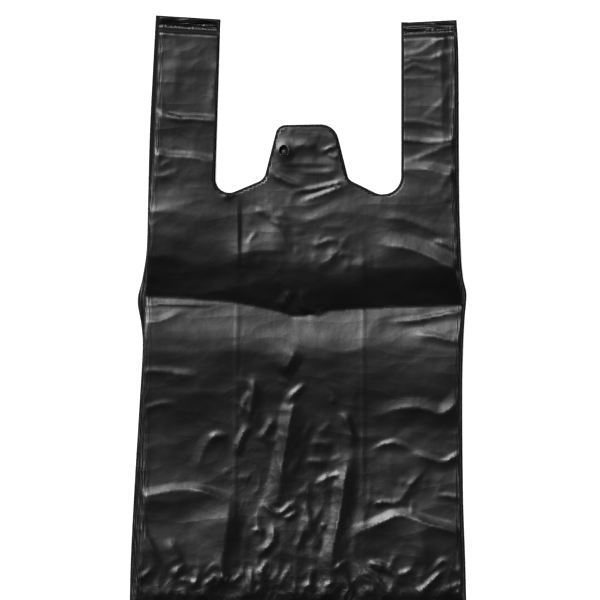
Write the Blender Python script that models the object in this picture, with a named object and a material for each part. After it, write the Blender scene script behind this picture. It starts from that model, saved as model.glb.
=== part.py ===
"""A vest carrier bag of thin black film, unfolded and lying flat on its back.

The bag is one tube of film. Both sides of the tube are folded in as gussets, the bottom and the tops
of the handles are welded shut, and one die cut through all layers leaves two handles and a tab.
X runs across the bag, +Y towards the handles and +Z up from the surface that it lies on.
"""

import math
import random

import bmesh
import bpy
from mathutils import Vector
from mathutils.geometry import delaunay_2d_cdt

MM = 0.001

# Driving dimensions of the flat bag
BAG_WIDTH = 280 * MM
BAG_HEIGHT = 530 * MM
GUSSET_DEPTH = 83 * MM
GUSSET_DRIFT = -3 * MM
HANDLE_LENGTH = 156 * MM
LEFT_HANDLE_WIDTH = 62 * MM
RIGHT_HANDLE_WIDTH = 55 * MM
TAB_ROOT_WIDTH = 74 * MM
TAB_TOP_WIDTH = 50 * MM
TAB_HEIGHT = 61 * MM
TAB_OFFSET = 2 * MM
LEFT_NOTCH_RADIUS = 12 * MM
RIGHT_NOTCH_RADIUS = 16 * MM
TAB_ROOT_RADIUS = 11 * MM
LEFT_SHOULDER_RADIUS = 9 * MM
RIGHT_SHOULDER_RADIUS = 16 * MM
HANDLE_LEAN = 5 * MM
HOLE_WIDTH = 8 * MM
HOLE_HEIGHT = 10 * MM
HOLE_INSET = 11.3 * MM
HOLE_DROP = 23.6 * MM
HOLE_END = math.radians(38)

# The film and how its layers lie on each other
FILM = 0.2 * MM
LAYER_GAP = 0.3 * MM
FRONT_SETBACK = 1.4 * MM

# Welds: a band of fused layers, a little in from the cut edge
BOTTOM_SKIRT = 8 * MM
HANDLE_SKIRT = 6 * MM
WELD_WIDTH = 3 * MM

# The creased front: how far it stands off the layers below
PILLOW_HEIGHT = 3.6 * MM
PILLOW_IN_HANDLES = 0.35
PILLOW_RISE = 0.16
CREASE_BEND = 1.4
CREASE_END = 0.12
EDGE_PRESS = 9 * MM
WELD_PRESS = 12 * MM
VALLEY_REACH_DOWN = 46 * MM
VALLEY_REACH_UP = 40 * MM
GATHER_HEIGHT = 2.2 * MM
GATHER_PITCH = 9 * MM
GATHER_BAND = 52 * MM
GATHER_SEED = 11

# Fineness of the film's facets
PANEL_STEP = 9.5 * MM
GATHER_STEP = 6.5 * MM
ROW_STEP = 13 * MM
CLEARANCE = 3.2 * MM
LINE_CLEARANCE = 1.5 * MM
ARC_STEP = math.radians(18)

# Creases are drawn in steps of about 1 mm, across and up from the middle of the bottom edge. The
# drawing is stretched between these lines, so that each crease stays on its handle or on the tab.
TAB_LEFT = TAB_OFFSET - TAB_ROOT_WIDTH / 2
TAB_RIGHT = TAB_OFFSET + TAB_ROOT_WIDTH / 2
ACROSS_LINES = ((-140, -BAG_WIDTH / 2), (-78, -BAG_WIDTH / 2 + LEFT_HANDLE_WIDTH), (-35, TAB_LEFT),
                (39, TAB_RIGHT), (85, BAG_WIDTH / 2 - RIGHT_HANDLE_WIDTH), (140, BAG_WIDTH / 2))
UP_LINES = ((0, 0), (374, BAG_HEIGHT - HANDLE_LENGTH), (435, BAG_HEIGHT - HANDLE_LENGTH + TAB_HEIGHT),
            (530, BAG_HEIGHT))

# How far each side edge bows out from half the width: share of the height, offset
LEFT_BACK_BOW = ((0.0, 12.7), (0.1, 11.4), (0.23, 7.9), (0.365, 3.5), (0.455, 0.9), (0.49, 2.2),
                 (0.53, 5.3), (0.565, 1.2), (0.61, -2.4), (0.69, -3.7), (0.81, -5.4), (1.0, -10.6))
LEFT_FRONT_BOW = ((0.0, 7.4), (0.05, 6.6), (0.13, 3.9), (0.23, 1.3), (0.36, 0.4), (0.53, -1.0),
                  (0.56, -2.2), (0.7, -5.3), (0.78, -8.8), (1.0, -13.6))
RIGHT_BACK_BOW = ((0.0, 2.2), (0.1, 0.9), (0.2, -0.9), (0.38, -1.7), (0.455, -0.9), (0.5, 0.4),
                  (0.54, 1.9), (0.565, -0.9), (0.6, -2.7), (0.7, -4.4), (0.94, -5.2), (1.0, -7.0))
RIGHT_FRONT_INSET = 1.8 * MM

# The line of the old cross fold, which is a valley, from left to right
VALLEY = ((-136, 283), (-100, 281), (-62, 279), (-36, 274), (-10, 267), (3, 268), (18, 272), (60, 274),
          (100, 275), (136, 277))

# Each crease: height, reach on its left side, reach on its right side (all in mm), and its path.
# Seen along the path, the left side is the steep one that faces the light.
HANDLE_CREASES = (
    (1.6, 3, 9, ((-126, 441), (-112, 439), (-93, 439), (-81, 438))),
    (2.4, 5, 12, ((-128, 411), (-110, 409), (-81, 405))),
    (1.2, 4, 10, ((-118, 490), (-105, 499), (-84, 506))),
    (1.8, 3, 5, ((90, 421), (105, 420), (118, 419), (129, 422))),
    (2.6, 7, 14, ((89, 396), (108, 395), (129, 391))),
    (1.3, 4, 10, ((90, 496), (100, 498), (110, 503), (121, 510))),
    (1.0, 4, 7, ((89, 486), (98, 489), (110, 484))),
)
TAB_CREASES = (
    (1.5, 5, 6, ((-10, 411), (0, 412), (13, 412))),
    (1.5, 6, 6, ((-26, 397), (5, 396), (30, 398))),
    (2.4, 4, 5, ((-14, 373), (0, 376), (20, 379), (36, 384))),
    (3.2, 4, 6, ((-8, 366), (10, 371), (25, 376), (38, 381))),
    (1.3, 3, 4, ((-29, 390), (-20, 387), (-8, 381))),
)
UPPER_CREASES = (
    (4.5, 46, 20, ((-57, 325), (-50, 329), (-36, 328), (-27, 325), (-20, 331))),
    (3.2, 8, 26, ((55, 328), (70, 329), (90, 326), (102, 322), (115, 316), (128, 309))),
    (1.7, 4, 8, ((6, 327), (15, 330), (24, 333), (34, 331))),
    (2.0, 12, 8, ((5, 306), (14, 309), (24, 316))),
    (1.4, 6, 12, ((-126, 346), (-112, 358), (-92, 366), (-70, 372))),
    (1.3, 5, 10, ((62, 349), (84, 352), (110, 344), (126, 337))),
)
LOWER_CREASES = (
    (1.3, 6, 16, ((-131, 218), (-100, 217), (-85, 224))),
    (3.4, 11, 22, ((-22, 104), (-19, 124), (-15, 150), (-9, 185), (-3, 207))),
    (4.2, 15, 10, ((25, 42), (29, 62), (33, 92), (37, 122), (42, 152))),
    (1.7, 6, 10, ((-57, 173), (-51, 192), (-44, 218))),
    (1.8, 6, 6, ((-57, 141), (-55, 157), (-46, 169))),
    (2.0, 9, 16, ((58, 178), (75, 181), (92, 184), (110, 182), (127, 186))),
    (1.7, 4, 7, ((57, 147), (66, 152), (78, 155), (87, 152), (95, 148))),
    (1.6, 6, 12, ((100, 141), (112, 139), (127, 146))),
    (2.6, 12, 10, ((72, 104), (82, 106), (92, 117), (103, 129))),
    (3.4, 6, 28, ((-134, 110), (-118, 114), (-100, 116), (-84, 113), (-73, 109), (-62, 103))),
    (3.8, 7, 32, ((33, 64), (42, 73), (60, 81), (81, 92), (92, 90), (108, 85), (129, 79))),
    (3.0, 20, 26, ((-77, 50), (-79, 76), (-83, 98))),
    (2.6, 13, 22, ((97, 52), (98, 70), (95, 82))),
    (1.9, 6, 5, ((-41, 97), (-28, 95), (-18, 94), (-6, 102))),
    (1.6, 10, 12, ((-92, 141), (-84, 152), (-74, 158))),
)
BOTTOM_CREASES = (
    (2.2, 4, 5, ((-138, 36), (-131, 44), (-126, 53))),
    (2.2, 4, 5, ((-115, 36), (-108, 44), (-104, 52))),
    (2.0, 4, 5, ((-88, 27), (-80, 36), (-71, 41))),
    (2.2, 4, 5, ((-68, 30), (-58, 37), (-53, 44))),
    (3.0, 5, 5, ((-49, 20), (-47, 34), (-47, 50))),
    (2.0, 4, 6, ((-38, 62), (-29, 70), (-27, 80))),
    (2.0, 4, 5, ((56, 46), (63, 49), (72, 46), (84, 40), (94, 44))),
    (2.8, 5, 5, ((100, 28), (110, 32), (120, 40))),
)
CREASES = HANDLE_CREASES + TAB_CREASES + UPPER_CREASES + LOWER_CREASES + BOTTOM_CREASES

LAYER_PITCH = FILM + LAYER_GAP
BACK_PANEL, BACK_LEAF, FRONT_LEAF, FRONT_PANEL = range(4)


def layer_height(layer):
    """Height of the middle of a layer of film, where it lies flat."""
    return FILM / 2 + layer * LAYER_PITCH


def stretched(lines, step):
    """Place of a step of the crease drawing, between the lines of (step, place) that it is stretched to."""
    index = 0
    while index < len(lines) - 2 and step > lines[index + 1][0]:
        index += 1
    (step0, place0), (step1, place1) = lines[index:index + 2]
    return place0 + (place1 - place0) * (step - step0) / (step1 - step0)


def on_face(step):
    """Place on the flat face of a point of the crease drawing."""
    return Vector((stretched(ACROSS_LINES, step[0]), stretched(UP_LINES, step[1])))


def smooth_curve(knots, at):
    """Value at a place on the smooth curve through knots of (place, value)."""
    if at <= knots[0][0]:
        return knots[0][1]
    last = len(knots) - 1
    for index in range(last):
        x0, y0 = knots[index]
        x1, y1 = knots[index + 1]
        if at <= x1:
            before = knots[max(index - 1, 0)]
            after = knots[min(index + 2, last)]
            slope0 = (y1 - before[1]) / (x1 - before[0])
            slope1 = (after[1] - y0) / (after[0] - x0)
            span = x1 - x0
            t = (at - x0) / span
            rise0 = t * (1 - t) ** 2 * span * slope0
            rise1 = t * t * (t - 1) * span * slope1
            blend = t * t * (3 - 2 * t)
            return y0 + (y1 - y0) * blend + rise0 + rise1
    return knots[last][1]


def side_x(side, front, y):
    """X of a side edge of the front layers or the back layers, side being -1 left or 1 right."""
    share = y / BAG_HEIGHT
    if side < 0:
        bow = smooth_curve(LEFT_FRONT_BOW if front else LEFT_BACK_BOW, share) * MM
        return -(BAG_WIDTH / 2 + bow)
    inset = RIGHT_FRONT_INSET if front else 0.0
    return BAG_WIDTH / 2 + smooth_curve(RIGHT_BACK_BOW, share) * MM - inset


def gusset_x(side):
    """X of the inner fold of a gusset."""
    return side * (BAG_WIDTH / 2 - GUSSET_DEPTH) + GUSSET_DRIFT


HANDLE_TOPS = {
    -1: (BAG_HEIGHT, BAG_HEIGHT - 3.5 * MM),
    1: (BAG_HEIGHT - 4.0 * MM, BAG_HEIGHT - 6.5 * MM),
}


def rounded(corners):
    """Points of an open outline of (point, radius) corners, with each corner rounded by an arc."""
    points = [corners[0][0]]
    for (before, _), (corner, radius), (after, _) in zip(corners, corners[1:], corners[2:]):
        to_before = (before - corner).normalized()
        to_after = (after - corner).normalized()
        half = math.acos(max(-1.0, min(1.0, to_before.dot(to_after)))) / 2
        centre = corner + (to_before + to_after).normalized() * (radius / math.sin(half))
        start = corner + to_before * (radius / math.tan(half))
        end = corner + to_after * (radius / math.tan(half))
        turn = math.pi - 2 * half
        steps = max(2, math.ceil(turn / ARC_STEP))
        first = (start - centre)
        sign = 1 if first.cross(end - centre) > 0 else -1
        for index in range(steps + 1):
            angle = sign * turn * index / steps
            cos, sin = math.cos(angle), math.sin(angle)
            points.append(centre + Vector((first.x * cos - first.y * sin, first.x * sin + first.y * cos)))
    points.append(corners[-1][0])
    return points


def divided(points, step):
    """The same outline with each long run divided into lengths of about one step."""
    result = [points[0]]
    for start, end in zip(points, points[1:]):
        parts = max(1, round((end - start).length / step))
        for index in range(1, parts + 1):
            result.append(start.lerp(end, index / parts))
    return result


def set_back(points, distance):
    """An open outline moved sideways into the film, which lies on its right."""
    moved = []
    for index, point in enumerate(points):
        before = points[max(index - 1, 0)]
        after = points[min(index + 1, len(points) - 1)]
        along = (after - before).normalized()
        moved.append(point + Vector((along.y, -along.x)) * distance)
    return moved


def mouth_outline(front):
    """The die cut, from the top of the left handle round the tab to the top of the right handle.

    The front layers lie a little back from the edge of the back ones all the way round.
    """
    half = BAG_WIDTH / 2
    root_y = BAG_HEIGHT - HANDLE_LENGTH
    top_left = TAB_OFFSET - TAB_TOP_WIDTH / 2
    top_right = TAB_OFFSET + TAB_TOP_WIDTH / 2
    left_x = -half + LEFT_HANDLE_WIDTH
    right_x = half - RIGHT_HANDLE_WIDTH
    tab_y = root_y + TAB_HEIGHT
    shoulder_y = root_y + LEFT_NOTCH_RADIUS
    drop = FRONT_SETBACK if front else 0.0
    corners = (
        (Vector((left_x + HANDLE_LEAN, HANDLE_TOPS[-1][1] - drop)), 0),
        (Vector((left_x, root_y - 5.5 * MM)), LEFT_NOTCH_RADIUS),
        (Vector((TAB_LEFT, shoulder_y + 0.5 * MM)), TAB_ROOT_RADIUS),
        (Vector((top_left, tab_y - 1 * MM)), LEFT_SHOULDER_RADIUS),
        (Vector((top_right, tab_y)), RIGHT_SHOULDER_RADIUS),
        (Vector((TAB_RIGHT, shoulder_y + 0.3 * MM)), TAB_ROOT_RADIUS * 0.7),
        (Vector((right_x, root_y - 10.5 * MM)), RIGHT_NOTCH_RADIUS),
        (Vector((right_x, HANDLE_TOPS[1][1] - drop)), 0),
    )
    return set_back(divided(rounded(corners), ROW_STEP), drop)


def crossing(outline, x, side):
    """Index and point where the mouth outline passes over an inner fold in its notch."""
    indices = range(len(outline) - 1)
    for index in (indices if side < 0 else reversed(indices)):
        start, end = outline[index], outline[index + 1]
        if start.x <= x < end.x:
            return index, Vector((x, start.lerp(end, (x - start.x) / (end.x - start.x)).y))
    raise ValueError("the mouth does not reach the gusset")


def side_points(side, front):
    """Points up one side edge, from the bottom to the top of its handle."""
    top = HANDLE_TOPS[side][0] - (FRONT_SETBACK if front else 0.0)
    rows = round(top / ROW_STEP)
    heights = [top * row / rows for row in range(rows + 1)]
    return [Vector((side_x(side, front, y), y)) for y in heights]


def hole_points():
    """Outline of the punched arch that hangs the bags, open round a tongue of film in its middle."""
    left = TAB_OFFSET - (TAB_ROOT_WIDTH + TAB_TOP_WIDTH) / 4
    centre = Vector((left + HOLE_INSET, BAG_HEIGHT - HANDLE_LENGTH + TAB_HEIGHT - HOLE_DROP))
    turn = math.pi + 2 * HOLE_END
    steps = round(turn / (2 * ARC_STEP))
    angles = [turn * index / steps - HOLE_END for index in range(steps + 1)]
    arch = [Vector((math.cos(a) * HOLE_WIDTH / 2, math.sin(a) * HOLE_HEIGHT / 2)) for a in angles]
    tongue = [Vector((point.x * 0.5, point.y * 0.5 - HOLE_HEIGHT * 0.16)) for point in reversed(arch)]
    return [centre + point for point in arch + tongue[::2]]


def distance_to_path(point, path):
    """Distance from a point to a path, the side that it lies on (1 left) and the share along it."""
    best = None
    lengths = [(b - a).length for a, b in zip(path, path[1:])]
    total = sum(lengths)
    done = 0.0
    for (a, b), length in zip(zip(path, path[1:]), lengths):
        along = max(0.0, min(1.0, (point - a).dot(b - a) / (length * length)))
        offset = point - a.lerp(b, along)
        gap = offset.length
        if best is None or gap < best[0]:
            side = 1 if (b - a).cross(offset) >= 0 else -1
            best = (gap, side, (done + along * length) / total)
        done += length
    return best


def press(distance, reach):
    """0 on a pressed line, rising smoothly to 1 at its reach."""
    t = max(0.0, min(1.0, distance / reach))
    return t * t * (3 - 2 * t)


def crease_paths():
    """Every crease as height, left reach, right reach and path in metres."""
    return [(height * MM, left * MM, right * MM, [on_face(step) for step in path])
            for height, left, right, path in CREASES]


def gather_paths():
    """Short pleats that fan up from the bottom weld."""
    rng = random.Random(GATHER_SEED)
    pleats = []
    count = int(BAG_WIDTH * 0.92 / GATHER_PITCH)
    for index in range(count):
        x = (index - (count - 1) / 2) * GATHER_PITCH + rng.uniform(-0.25, 0.25) * GATHER_PITCH
        foot = BOTTOM_SKIRT + WELD_WIDTH + rng.uniform(0.05, 0.15) * GATHER_BAND
        length = rng.uniform(0.3, 0.6) * GATHER_BAND
        lean = rng.uniform(-0.3, 0.5) * length
        height = GATHER_HEIGHT * rng.uniform(0.6, 1.2)
        path = [Vector((x, foot)), Vector((x + lean * 0.4, foot + length * 0.55)),
                Vector((x + lean, foot + length))]
        pleats.append((height, GATHER_PITCH * 0.45, GATHER_PITCH * 0.55, path))
    return pleats


def relief(point, creases, valley):
    """Height that the front stands off the flat layers at a point of the face."""
    x, y = point
    edge = min(x - side_x(-1, True, y), side_x(1, True, y) - x)
    handle = HANDLE_TOPS[-1 if x < 0 else 1][1] - HANDLE_SKIRT - WELD_WIDTH
    weld = min(y - BOTTOM_SKIRT - WELD_WIDTH, handle - y)
    gap, side, _ = distance_to_path(point, valley)
    reach = VALLEY_REACH_UP if side > 0 else VALLEY_REACH_DOWN
    depth = max(0.0, 1 - gap / reach)
    body = press(BAG_HEIGHT - HANDLE_LENGTH * 0.7 - y, HANDLE_LENGTH * 0.6)
    stand_off = PILLOW_HEIGHT * (1 - depth * depth)
    stand_off *= PILLOW_IN_HANDLES + (1 - PILLOW_IN_HANDLES) * body
    stand_off *= press(edge, BAG_WIDTH * PILLOW_RISE if body > 0 else LEFT_HANDLE_WIDTH / 3)
    folds = 0.0
    for height, left, right, path in creases:
        gap, side, share = distance_to_path(point, path)
        reach = left if side > 0 else right
        if gap < reach:
            ends = min(1.0, share / CREASE_END, (1 - share) / CREASE_END)
            folds += height * (1 - gap / reach) ** CREASE_BEND * (1 + 2 * ends) / 3
    return (stand_off + folds) * press(edge, EDGE_PRESS) * press(weld, WELD_PRESS)


def inside(point, outline):
    """Whether a point lies inside a closed outline."""
    odd = False
    for a, b in zip(outline, outline[1:] + outline[:1]):
        if (a.y > point.y) != (b.y > point.y):
            if point.x < a.x + (point.y - a.y) * (b.x - a.x) / (b.y - a.y):
                odd = not odd
    return odd


def lattice(outline, lines):
    """Points spread over a layer, clear of its outline and of the lines drawn on it."""
    points = []
    row = 0
    y = GATHER_STEP
    top = max(point.y for point in outline)
    low = min(point.x for point in outline)
    high = max(point.x for point in outline)
    while y < top:
        step = GATHER_STEP if y < GATHER_BAND else PANEL_STEP
        columns = math.ceil((high - low) / step)
        for column in range(columns):
            point = Vector((low + (column + 0.5 * (row % 2)) * step, y))
            if inside(point, outline) and all(distance_to_path(point, line)[0] > CLEARANCE for line in lines):
                points.append(point)
        y += step * 0.87
        row += 1
    return points


def triangulate(outline, hole=(), lines=(), spread=False):
    """Corner points and triangles of one flat layer. The outline's points come first, in order."""
    points = list(outline)
    edges = [(index, (index + 1) % len(outline)) for index in range(len(outline))]
    loops = [list(hole)] if hole else []
    for loop in loops:
        first = len(points)
        points += loop
        edges += [(first + index, first + (index + 1) % len(loop)) for index in range(len(loop))]
    for line in lines:
        first = len(points)
        points += line
        edges += [(first + index, first + index + 1) for index in range(len(line) - 1)]
    if spread:
        borders = [list(outline) + [outline[0]]] + [loop + [loop[0]] for loop in loops]
        points += lattice(list(outline), borders + [list(line) for line in lines])
    spots, _, faces, origins, _, _ = delaunay_2d_cdt(points, edges, [], 0, 1e-7)
    faces = [face for face in faces if within(face, spots, outline, hole)]
    order = {index: origin for index, sources in enumerate(origins) for origin in sources}
    names = {index: order.get(index, len(points) + index) for index in range(len(spots))}
    used = {names[index]: spots[index] for face in faces for index in face}
    return used, [[names[index] for index in face] for face in faces]


def within(face, spots, outline, hole):
    """Whether a triangle belongs to the layer."""
    centre = sum((spots[index] for index in face), Vector((0, 0))) / 3
    return inside(centre, outline) and not (hole and inside(centre, list(hole)))


class Film:
    """The film as a sheet of no thickness, each corner with the way out of the tube at it."""

    def __init__(self):
        self.sheet = bmesh.new()
        self.ways_out = {}

    def corner(self, point, height, way_out):
        vertex = self.sheet.verts.new((point.x, point.y, height))
        self.ways_out[vertex] = Vector(way_out)
        return vertex

    def face(self, corners, way_out):
        face = self.sheet.faces.new(corners)
        face.normal_update()
        if face.normal.dot(Vector(way_out)) < 0:
            face.normal_flip()

    def layer(self, layer, outline, way_out, hole=(), lines=(), spread=False, lift=None):
        """Lay one layer of film and return the corners of its outline."""
        spots, faces = triangulate(outline, hole, lines, spread)
        corners = {}
        for name, spot in spots.items():
            height = layer_height(layer) + (lift(spot) if lift else 0.0)
            corners[name] = self.corner(spot, height, way_out)
        for face in faces:
            self.face([corners[name] for name in face], way_out)
        return [corners[index] for index in range(len(outline))]

    def fold(self, lower, upper, way_out):
        """Join two layers along a fold, with a strip between their edges."""
        for (a, b), (c, d) in zip(zip(lower, lower[1:]), zip(upper, upper[1:])):
            self.face([a, b, d], way_out)
            self.face([a, d, c], way_out)
        for vertex in set(lower + upper):
            self.ways_out[vertex] += Vector(way_out)

    def thicken(self):
        """A closed solid: the sheet moved out and in by half the film, and joined round its free edges."""
        solid = bmesh.new()
        outer = {}
        inner = {}
        for vertex, way_out in self.ways_out.items():
            outer[vertex] = solid.verts.new(vertex.co + way_out * (FILM / 2))
            inner[vertex] = solid.verts.new(vertex.co - way_out * (FILM / 2))
        for face in self.sheet.faces:
            solid.faces.new([outer[vertex] for vertex in face.verts])
            solid.faces.new([inner[vertex] for vertex in reversed(face.verts)])
        for edge in self.sheet.edges:
            if edge.is_boundary:
                loop = edge.link_loops[0]
                a, b = loop.vert, loop.link_loop_next.vert
                solid.faces.new([outer[b], outer[a], inner[a], inner[b]])
        bmesh.ops.triangulate(solid, faces=solid.faces)
        self.sheet.free()
        return solid


def leaf_outline(side, front, mouth):
    """Outline of a gusset leaf: up its inner fold, along the cut, over the handle and down its side."""
    fold_x = gusset_x(side)
    index, corner = crossing(mouth, fold_x, side)
    rows = round((BAG_HEIGHT - HANDLE_LENGTH) / ROW_STEP)
    fold = [Vector((fold_x, corner.y * row / rows)) for row in range(rows)] + [corner]
    cut = list(reversed(mouth[:index + 1])) if side < 0 else list(mouth[index + 1:])
    edge = side_points(side, front)
    return fold + cut + list(reversed(edge)), len(fold), len(edge)


def panel_outline(front, mouth):
    """Outline of the front or back panel, and how many points each side edge has."""
    left = side_points(-1, front)
    right = side_points(1, front)
    width = right[0] - left[0]
    parts = round(width.length / GATHER_STEP) if front else 6
    bottom = [left[0] + width * (index / parts) for index in range(1, parts)]
    outline = bottom + right + list(reversed(mouth)) + list(reversed(left))
    return outline, len(bottom), len(right), len(left)


def clear_run(line, outline, hole):
    """The longest run of a crease's points that lie well inside the film."""
    borders = [outline + outline[:1], hole + hole[:1]]
    runs = [[]]
    for point in line:
        clear = inside(point, outline) and not inside(point, hole)
        if clear and all(distance_to_path(point, border)[0] > LINE_CLEARANCE for border in borders):
            runs[-1].append(point)
        else:
            runs.append([])
    return max(runs, key=len)


def build_film():
    """The folded, die-cut tube of film as one closed solid, before its welds."""
    valley = divided([on_face(step) for step in VALLEY], PANEL_STEP)
    creases = crease_paths() + gather_paths()
    film = Film()
    edges = {}
    for front, panel, leaf in ((False, BACK_PANEL, BACK_LEAF), (True, FRONT_PANEL, FRONT_LEAF)):
        mouth = mouth_outline(front)
        outline, bottom, right, left = panel_outline(front, mouth)
        up = 1 if front else -1
        if front:
            hole = hole_points()
            runs = [clear_run(line, outline, hole) for line in [valley] + [path for *_, path in crease_paths()]]
            lines = [run for run in runs if len(run) > 1]
            corners = film.layer(panel, outline, (0, 0, up), hole, lines, True,
                                 lambda point: relief(point, creases, valley))
        else:
            corners = film.layer(panel, outline, (0, 0, up))
        edges[panel, 1] = corners[bottom:bottom + right]
        edges[panel, -1] = list(reversed(corners[-left:]))
        for side in (-1, 1):
            outline, fold, edge = leaf_outline(side, front, mouth)
            corners = film.layer(leaf, outline, (0, 0, -up))
            edges[leaf, side] = list(reversed(corners[-edge:]))
            edges["fold", leaf, side] = corners[:fold]
            film.fold(edges[leaf, side], edges[panel, side], (side, 0, 0))
    for side in (-1, 1):
        film.fold(edges["fold", BACK_LEAF, side], edges["fold", FRONT_LEAF, side], (side, 0, 0))
    return film.thicken()


def weld_bar(name, start, end, low, high):
    """A closed bar along a weld from start to end, which fuses the layers between two heights."""
    bar = bmesh.new()
    bmesh.ops.create_cube(bar, size=1.0)
    along = end - start
    for vertex in bar.verts:
        across = vertex.co.y * WELD_WIDTH
        point = start + along * (vertex.co.x + 0.5) + Vector((0, across))
        vertex.co = (point.x, point.y, low if vertex.co.z < 0 else high)
    mesh = bpy.data.meshes.new(name)
    bar.to_mesh(mesh)
    bar.free()
    weld = bpy.data.objects.new(name, mesh)
    bpy.context.collection.objects.link(weld)
    weld.display_type = "WIRE"
    weld.hide_render = True
    return weld


def weld_bars():
    """The weld across the bottom and those across the tops of the handles."""
    inset = FILM * 0.6
    low = layer_height(BACK_PANEL)
    high = layer_height(FRONT_PANEL)
    bottom_y = BOTTOM_SKIRT + WELD_WIDTH / 2
    start = Vector((side_x(-1, True, bottom_y) + inset, bottom_y))
    end = Vector((side_x(1, True, bottom_y) - inset, bottom_y))
    bars = [weld_bar("bottom_weld", start, end, low, high)]
    for side, name in ((-1, "left_handle_weld"), (1, "right_handle_weld")):
        outer_top, inner_top = HANDLE_TOPS[side]
        drop = HANDLE_SKIRT + WELD_WIDTH / 2
        outer = side_x(side, True, outer_top - drop) - side * inset
        inset_from_cut = 2 * FRONT_SETBACK
        if side < 0:
            inner = -BAG_WIDTH / 2 + LEFT_HANDLE_WIDTH + HANDLE_LEAN - inset_from_cut
        else:
            inner = BAG_WIDTH / 2 - RIGHT_HANDLE_WIDTH + inset_from_cut
        ends = [Vector((outer, outer_top - drop)), Vector((inner, inner_top - drop))]
        start, end = ends if side < 0 else reversed(ends)
        bars.append(weld_bar(name, start, end, low, high))
    return bars


def film_material():
    """Black film with a soft gloss."""
    material = bpy.data.materials.new("black_film")
    material.use_nodes = True
    shader = material.node_tree.nodes["Principled BSDF"]
    shader.inputs["Base Color"].default_value = (0.012, 0.012, 0.013, 1.0)
    shader.inputs["Roughness"].default_value = 0.38
    shader.inputs["Metallic"].default_value = 0.0
    return material


def centre_on_floor(mesh):
    """Move the origin to the middle of the bag's underside."""
    low = Vector([min(vertex.co[axis] for vertex in mesh.vertices) for axis in range(3)])
    high = Vector([max(vertex.co[axis] for vertex in mesh.vertices) for axis in range(3)])
    middle = Vector(((low.x + high.x) / 2, (low.y + high.y) / 2, low.z))
    for vertex in mesh.vertices:
        vertex.co -= middle


def build_bag():
    """The finished bag as one object."""
    solid = build_film()
    mesh = bpy.data.meshes.new("film")
    solid.to_mesh(mesh)
    solid.free()
    bag = bpy.data.objects.new("carrier_bag", mesh)
    bpy.context.collection.objects.link(bag)
    for bar in weld_bars():
        weld = bag.modifiers.new(bar.name, "BOOLEAN")
        weld.operation = "UNION"
        weld.solver = "EXACT"
        weld.object = bar
    bpy.context.view_layer.update()
    evaluated = bag.evaluated_get(bpy.context.evaluated_depsgraph_get())
    welded = bpy.data.meshes.new_from_object(evaluated)
    bag.modifiers.clear()
    bag.data = welded
    centre_on_floor(welded)
    welded.materials.clear()
    welded.materials.append(film_material())
    welded.shade_smooth()
    welded.set_sharp_from_angle(angle=math.radians(35))
    return bag


def main():
    for leftover in list(bpy.data.objects):
        bpy.data.objects.remove(leftover)
    build_bag()


main()
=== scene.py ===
"""The looks of a black vest carrier bag that lies flat on its back, unfolded but still creased.

The film is drawn in millimetres on the flat face of the bag: across from its middle, up from its
bottom edge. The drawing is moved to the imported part's frame as the last step.
"""

import math

import bmesh
import bpy
import numpy as np
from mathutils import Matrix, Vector


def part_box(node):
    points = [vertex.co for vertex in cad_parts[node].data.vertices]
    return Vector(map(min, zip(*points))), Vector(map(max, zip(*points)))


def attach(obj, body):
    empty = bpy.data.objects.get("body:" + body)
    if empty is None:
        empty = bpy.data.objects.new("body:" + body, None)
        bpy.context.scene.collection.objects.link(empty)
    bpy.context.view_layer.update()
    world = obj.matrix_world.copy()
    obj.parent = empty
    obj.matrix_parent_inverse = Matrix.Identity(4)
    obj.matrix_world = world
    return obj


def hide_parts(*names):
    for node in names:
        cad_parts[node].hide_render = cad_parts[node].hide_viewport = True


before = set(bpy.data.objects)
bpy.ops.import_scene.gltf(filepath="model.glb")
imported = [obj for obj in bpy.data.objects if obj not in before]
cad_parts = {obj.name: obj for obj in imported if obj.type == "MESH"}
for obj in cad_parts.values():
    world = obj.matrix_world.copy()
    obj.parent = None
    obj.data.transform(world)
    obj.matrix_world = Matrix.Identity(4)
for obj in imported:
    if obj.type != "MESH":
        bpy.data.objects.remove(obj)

bl_info = {
    "name": "Vest carrier bag",
    "version": (1, 0, 0),
    "blender": (4, 5, 0),
    "location": "3D View > Sidebar > Bag",
    "description": "Builds the creased film of a flat carrier bag and the studio around it",
    "category": "Object",
}

MM = 0.001
NODE = "carrier_bag"
BOX_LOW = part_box(NODE)[0]

# Values that each point of the film carries for its material
FILM_MARKS = ("wear_and_highlight", "weld", "crumple", "skirt", "hem", "matte")

# The film's layers, counted from the back panel; the gusset leaves lie between these two
BACK_LAYER = 0
FRONT_LAYER = 3

# The cut of the film, in mm
FACE_WIDTH = 280.0
BAG_HEIGHT = 530.0
GUSSET_FOLDS = {-1: -60.0, 1: 54.0}
FRONT_SETBACK = 1.4
FRONT_INSET_RIGHT = 1.8
BOTTOM_WELD = 9.5
HANDLE_WELD_DROP = 7.5
WELD_HALF_WIDTH = 1.5

# How far a fold between two layers bulges out, and how flat a weld presses them, within what reach
FOLD_BULGE = 0.22
WELD_SQUEEZE = (0.38, 5.0)

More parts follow.
